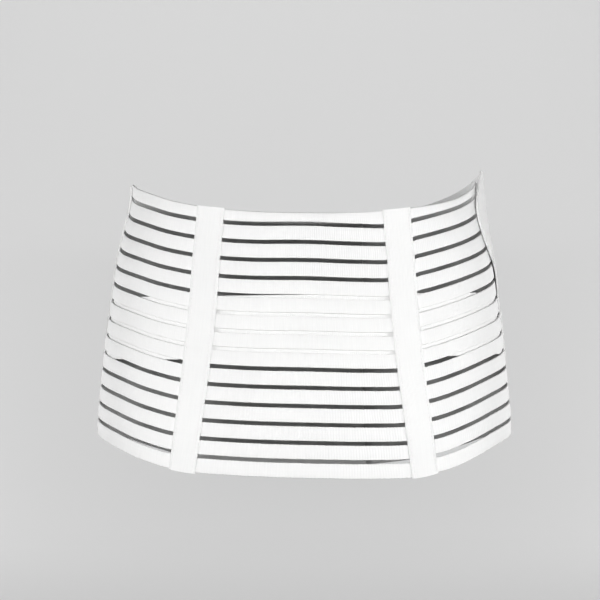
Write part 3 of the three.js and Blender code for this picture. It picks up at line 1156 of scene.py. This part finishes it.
for side in ("left", "right"):
    seams = [panel_seam(side, places) for places in hem_places(side)]
    sew("panel_stitches_" + side, seams, thread_cloth)

bpy.data.objects.remove(stitch)

# %% [markdown]
# ## The sweep of paper
# The belt hangs over a pale sheet that sweeps up into a backdrop, so no line crosses the picture. The back
# edge of a plane is extruded in small steps round a quarter circle and then straight up.

# %% Build the sweep
FLOOR_LEVEL = -0.34
FLOOR_BACK = 1.6
FLOOR_WIDTH = 7.0
FLOOR_DEPTH = 5.2
SWEEP_RADIUS = 0.9
SWEEP_STEPS = 16
WALL_RISE = 3.0
EDGE_MARGIN = 0.01

bpy.ops.object.select_all(action="DESELECT")
bpy.ops.mesh.primitive_plane_add(size=1, location=(0, FLOOR_BACK - FLOOR_DEPTH / 2, FLOOR_LEVEL))
floor = bpy.context.object
floor.name = "studio_sweep"
floor.scale = (FLOOR_WIDTH, FLOOR_DEPTH, 1)
bpy.ops.object.transform_apply(location=True, rotation=True, scale=True)
bpy.ops.object.mode_set(mode="EDIT")
bpy.ops.mesh.select_mode(type="EDGE")
bpy.ops.mesh.select_all(action="DESELECT")
bpy.ops.object.mode_set(mode="OBJECT")
for edge in floor.data.edges:
    edge.select = all(floor.data.vertices[v].co.y > FLOOR_BACK - EDGE_MARGIN for v in edge.vertices)
bpy.ops.object.mode_set(mode="EDIT")
for k in range(SWEEP_STEPS):
    start = math.pi / 2 * k / SWEEP_STEPS
    end = math.pi / 2 * (k + 1) / SWEEP_STEPS
    back = SWEEP_RADIUS * (math.sin(end) - math.sin(start))
    up = SWEEP_RADIUS * (math.cos(start) - math.cos(end))
    bpy.ops.mesh.extrude_region_move(TRANSFORM_OT_translate={"value": (0, back, up)})
bpy.ops.mesh.extrude_region_move(TRANSFORM_OT_translate={"value": (0, 0, WALL_RISE)})
bpy.ops.object.mode_set(mode="OBJECT")
bpy.ops.object.shade_smooth()
print("the sweep has", len(floor.data.polygons), "faces")

# %% [markdown]
# ## Paper that glows for the camera alone
# White paper would throw light back up into the belt and wash out the slots. So the paper is grey to the
# light and glows only for the rays that come straight from the camera, which the Light Path node tells
# apart. No cloth of the belt does this.

# %% Colour the paper
GLOW_COLOUR = (1, 1, 1, 1)
PAPER_GLOW = 0.42
PAPER_FINISH = {
    "Base Color": (0.25, 0.25, 0.25, 1),
    "Roughness": 0.9,
    "Specular IOR Level": 0.1,
    "Emission Color": GLOW_COLOUR,
}


def camera_only(tree, glow, base):
    """A strength that is base for light and glow more than that for what the camera sees."""
    seen = tree.nodes.new("ShaderNodeLightPath")
    return math_node(tree, "MULTIPLY_ADD", seen.outputs["Is Camera Ray"], glow, base)


sweep_paper = bpy.data.materials.new("Studio paper")
sweep_paper.use_nodes = True
paper_tree = sweep_paper.node_tree
paper = paper_tree.nodes["Principled BSDF"]
fill(paper, PAPER_FINISH)
paper_tree.links.new(camera_only(paper_tree, PAPER_GLOW, 0.0), paper.inputs["Emission Strength"])
floor.data.materials.append(sweep_paper)
print("coloured", floor.name)

# %% [markdown]
# ## The lights
# The slots look dark because the inside of the belt is in shade, so the lights are thin and low. The key
# light lies just above the camera: what passes the slots lands in strips between the places that the
# camera sees through them. Two side lights come in low and model the curve of the back. Two lights beyond
# the belt are for the front panels, and one is for the backdrop. A large soft light from above would be
# gentler, but it would reach in through the open top.

# %% Place the lights
BELT_MIDDLE = (0, 0, 0.02)
BACKDROP_MIDDLE = (0, 2.6, 0.6)

# name, place, target, width and height in metres, and watts
LIGHTS = [
    ("key_light", (0, -2.32, 0.112), BELT_MIDDLE, (1.0, 0.05), 43),
    ("side_light_left", (-2.51, -0.67, 0.133), BELT_MIDDLE, (1.0, 0.14), 30),
    ("side_light_right", (2.51, -0.67, 0.133), BELT_MIDDLE, (1.0, 0.14), 34),
    ("backdrop_light", (0, 1.0, 1.6), BACKDROP_MIDDLE, (2.4, 0.6), 26),
    ("front_light_left", (-1.6, 1.9, 0.1), BELT_MIDDLE, (0.8, 0.3), 26),
    ("front_light_right", (1.6, 1.9, 0.1), BELT_MIDDLE, (0.8, 0.3), 26),
]
for name, place, target, size, watts in LIGHTS:
    bpy.ops.object.light_add(type="AREA", location=place)
    light = bpy.context.object
    light.name = name
    light.data.shape = "RECTANGLE"
    light.data.size, light.data.size_y = size
    light.data.energy = watts
    light.rotation_euler = (Vector(target) - Vector(place)).to_track_quat("-Z", "Y").to_euler()
print("placed", len(LIGHTS), "lights")

# %% [markdown]
# ## The air and the view
# The air gives almost no light, but it looks pale where the camera sees past the sweep. The plain view
# transform keeps white cloth white, and a gamma below one deepens the shaded slots.

# %% Set the air and the view
AIR_GLOW = 0.50
AIR_LIGHT = 0.05
VIEW_GAMMA = 0.8

world = bpy.data.worlds.new("Studio air")
world.use_nodes = True
air = world.node_tree
air.links.new(camera_only(air, AIR_GLOW, AIR_LIGHT), air.nodes["Background"].inputs["Strength"])
air.nodes["Background"].inputs["Color"].default_value = GLOW_COLOUR
bpy.context.scene.world = world
bpy.context.scene.view_settings.view_transform = "Standard"
bpy.context.scene.view_settings.gamma = VIEW_GAMMA
print("view:", bpy.context.scene.view_settings.view_transform)
